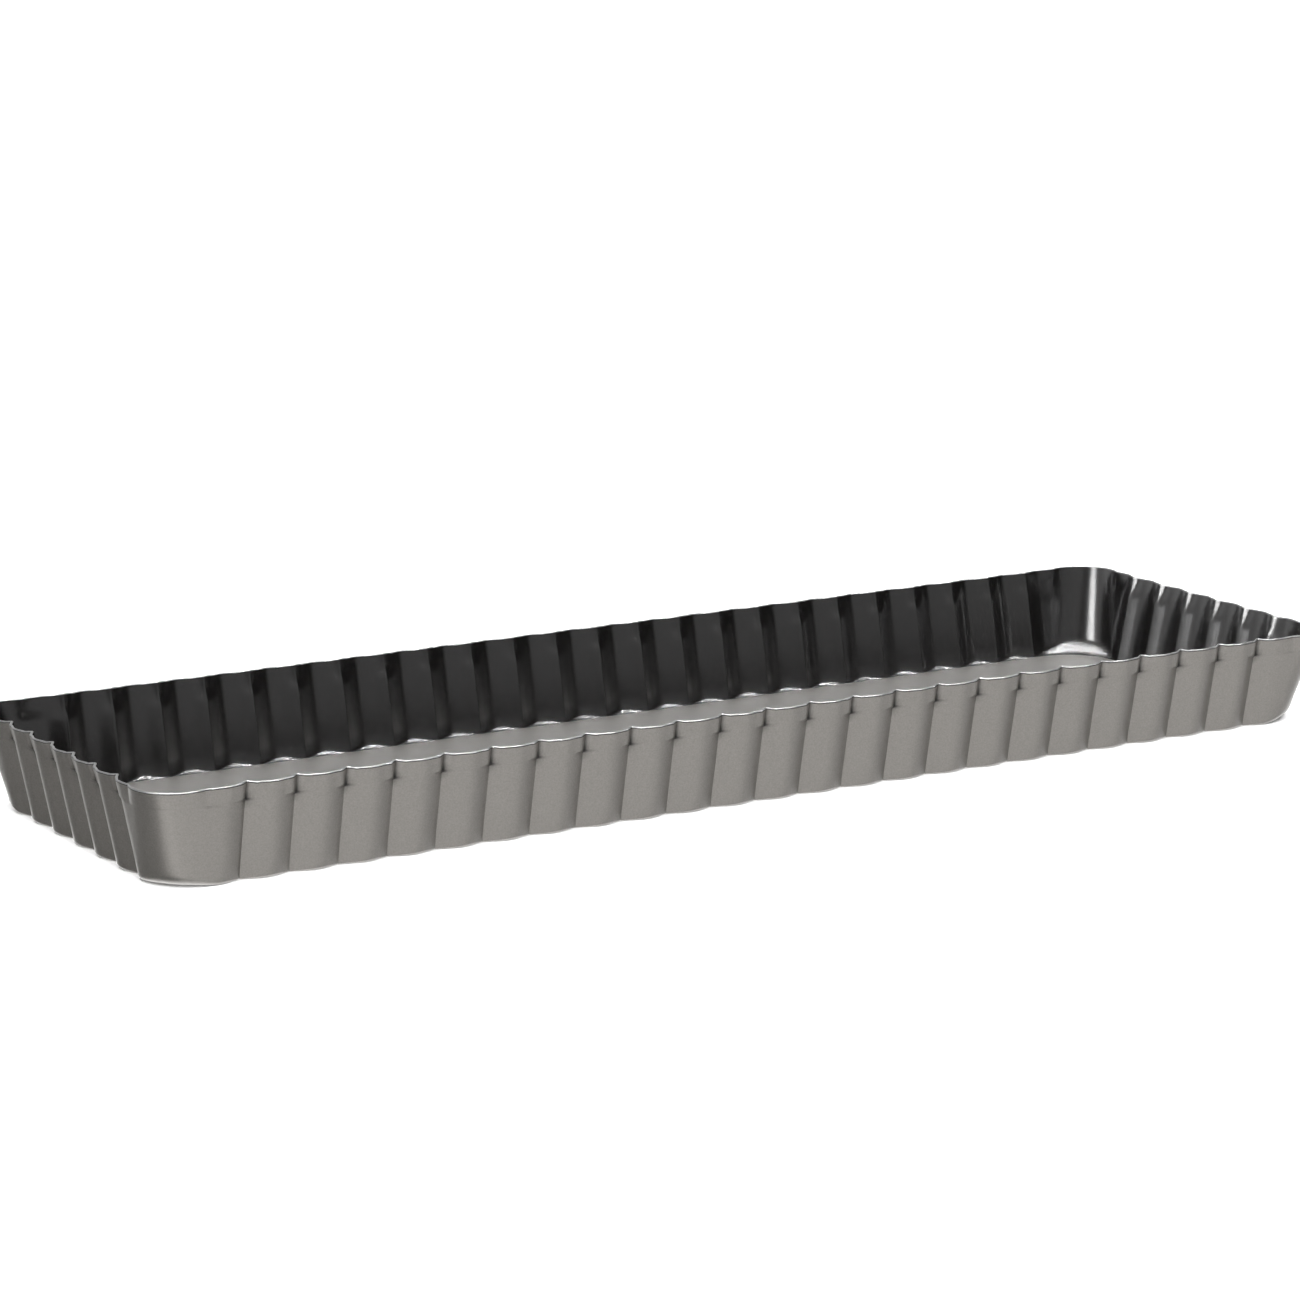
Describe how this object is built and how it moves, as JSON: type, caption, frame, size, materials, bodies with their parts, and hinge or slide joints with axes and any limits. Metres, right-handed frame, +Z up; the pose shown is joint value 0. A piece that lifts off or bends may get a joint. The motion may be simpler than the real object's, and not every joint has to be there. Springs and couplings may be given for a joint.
{
  "type": "tart pan",
  "caption": "Rectangular fluted tart pan: a ring with outward-bulging flutes and an inner ledge, and a flat loose base plate that lifts out of it.",
  "frame": {"origin": "centre of the pan's footprint, on the surface that it stands on", "axes": "+X along the pan's length, +Y across it, +Z up out of the pan"},
  "size_m": [0.35, 0.11, 0.025],
  "materials": {
    "rim_coating": "satin warm-grey release coating with fine metallic flake outside, near-black inside, bare edge at the rim",
    "base_plate": "smooth satin light-grey metal with a fine bevelled edge"
  },
  "bodies": {
    "rim": {"fluted_rim": "rim_coating"},
    "base": {"loose_base": "base_plate"}
  },
  "joints": [
    {"name": "base_lift", "type": "slide", "parent": "rim", "child": "base", "axis": [0, 0, 1], "range_m": [0, 0.073]}
  ]
}
